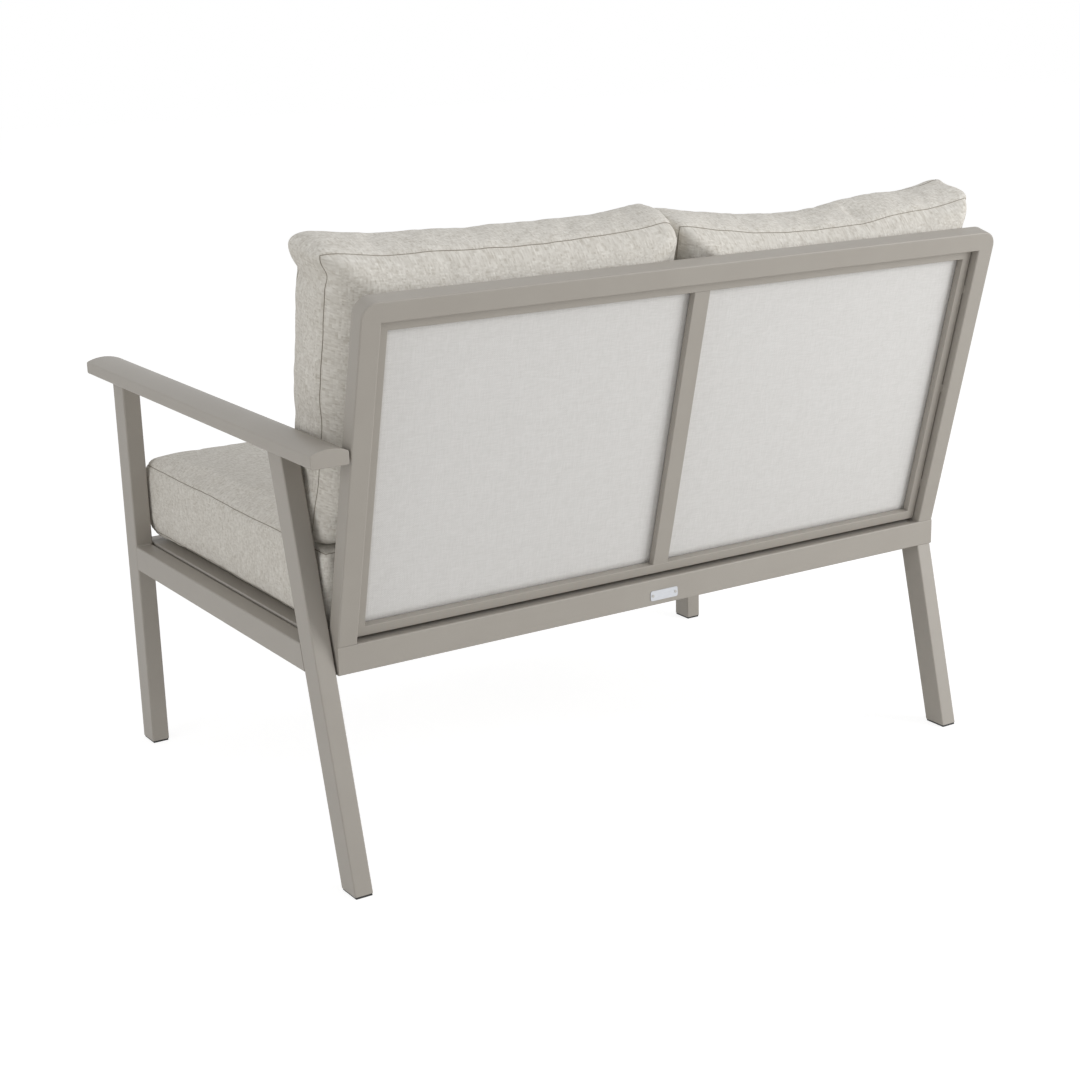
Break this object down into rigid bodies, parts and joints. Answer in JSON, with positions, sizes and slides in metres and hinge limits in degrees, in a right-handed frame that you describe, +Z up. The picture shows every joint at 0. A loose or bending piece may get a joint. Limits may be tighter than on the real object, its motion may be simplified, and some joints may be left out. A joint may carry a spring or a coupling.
{
  "type": "modular sofa section",
  "caption": "One-arm modular outdoor sofa section: slim taupe tube frame with leaning rear legs, mesh-panel back, and loose boxed seat and back cushions in grey woven fabric.",
  "frame": {"origin": "middle of the whole object's footprint, on the floor", "axes": "+X towards the arm's side, -Y towards the front of the seat, +Z up"},
  "size_m": [1.23, 0.9065, 0.9663],
  "materials": {
    "powder_coat": "matte fine-textured taupe powder coat on aluminium tube",
    "glide": "moulded black nylon",
    "steel": "plain stainless",
    "washer": "black nylon",
    "sling_mesh": "pale grey coated mesh, stretched",
    "plate_metal": "satin anodised",
    "cover_fabric": "heathered warm grey woven outdoor fabric",
    "foam": "open-cell foam"
  },
  "bodies": {
    "frame": {"front_leg_arm_side": "powder_coat", "rear_leg_arm_side": "powder_coat", "front_leg_open_side": "powder_coat", "rear_leg_open_side": "powder_coat", "arm_rest": "powder_coat", "arm_front_plate": "powder_coat", "arm_rear_plate": "powder_coat", "arm_side_rail": "powder_coat", "seat_front_rail": "powder_coat", "seat_rear_rail": "powder_coat", "seat_arm_rail": "powder_coat", "seat_open_rail": "powder_coat", "seat_cross_member": "powder_coat", "seat_ledges": "powder_coat", "back_stile_open_side": "powder_coat", "back_stile_arm_side": "powder_coat", "back_top_rail": "powder_coat", "back_panel_open_member": "powder_coat", "back_panel_arm_member": "powder_coat", "back_panel_top_member": "powder_coat", "back_panel_bottom_member": "powder_coat", "back_panel_mullion": "powder_coat", "back_panel_tabs": "powder_coat", "seat_panel_arm_member": "powder_coat", "seat_panel_open_member": "powder_coat", "seat_panel_front_member": "powder_coat", "seat_panel_rear_member": "powder_coat", "seat_panel_mullion": "powder_coat", "glide_front_arm_side": "glide", "glide_rear_arm_side": "glide", "glide_front_open_side": "glide", "glide_rear_open_side": "glide", "threaded_inserts": "steel", "joint_bolts": "steel", "joint_washers": "washer", "back_sling_open_side": "sling_mesh", "back_sling_arm_side": "sling_mesh", "seat_sling_arm_side": "sling_mesh", "seat_sling_open_side": "sling_mesh", "name_plate": "plate_metal", "plate_rivets": "plate_metal"},
    "seat_cushion_arm_side": {"seat_cushion_cover_arm_side": "cover_fabric", "seat_cushion_core_arm_side": "foam"},
    "seat_cushion_open_side": {"seat_cushion_cover_open_side": "cover_fabric", "seat_cushion_core_open_side": "foam"},
    "back_cushion_arm_side": {"back_cushion_cover_arm_side": "cover_fabric", "back_cushion_core_arm_side": "foam"},
    "back_cushion_open_side": {"back_cushion_cover_open_side": "cover_fabric", "back_cushion_core_open_side": "foam"}
  },
  "joints": [
    {"name": "seat_cushion_arm_side_off", "type": "slide", "parent": "frame", "child": "seat_cushion_arm_side", "axis": [0, -1, 0], "range_m": [0, 0.75]},
    {"name": "seat_cushion_open_side_off", "type": "slide", "parent": "frame", "child": "seat_cushion_open_side", "axis": [0, -1, 0], "range_m": [0, 0.75]},
    {"name": "back_cushion_arm_side_off", "type": "slide", "parent": "frame", "child": "back_cushion_arm_side", "axis": [0, 0.2504, 0.9681], "range_m": [0, 0.52]},
    {"name": "back_cushion_open_side_off", "type": "slide", "parent": "frame", "child": "back_cushion_open_side", "axis": [0, 0.2504, 0.9681], "range_m": [0, 0.52]}
  ]
}
